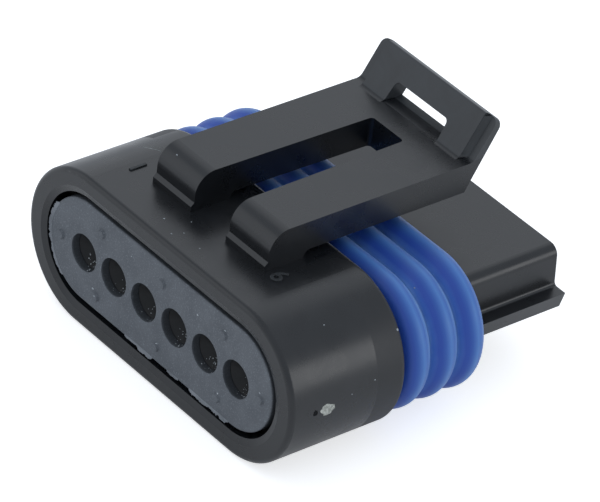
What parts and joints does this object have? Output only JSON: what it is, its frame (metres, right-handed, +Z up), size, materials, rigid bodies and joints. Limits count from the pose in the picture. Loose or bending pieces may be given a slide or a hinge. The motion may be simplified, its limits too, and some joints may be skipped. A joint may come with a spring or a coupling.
{
  "type": "connector housing",
  "caption": "Sealed in-line wire connector housing with a sprung latch, a ribbed interface seal and a rubber mat seal round its wire holes.",
  "frame": {"origin": "centre of the bounding box in plan, on the plane that the collar's underside stands on", "axes": "+X along the row of wires, +Y the way the connector is pushed to mate, +Z up towards the latch"},
  "size_m": [0.0388, 0.035, 0.0236],
  "materials": {
    "nylon_black": "moulded satin black",
    "silicone_blue": "satin blue silicone",
    "silicone_grey": "matt dark blue-grey silicone"
  },
  "bodies": {
    "root": {"housing": "nylon_black", "interface_seal": "silicone_blue", "cable_seal": "silicone_grey"}
  },
  "joints": []
}
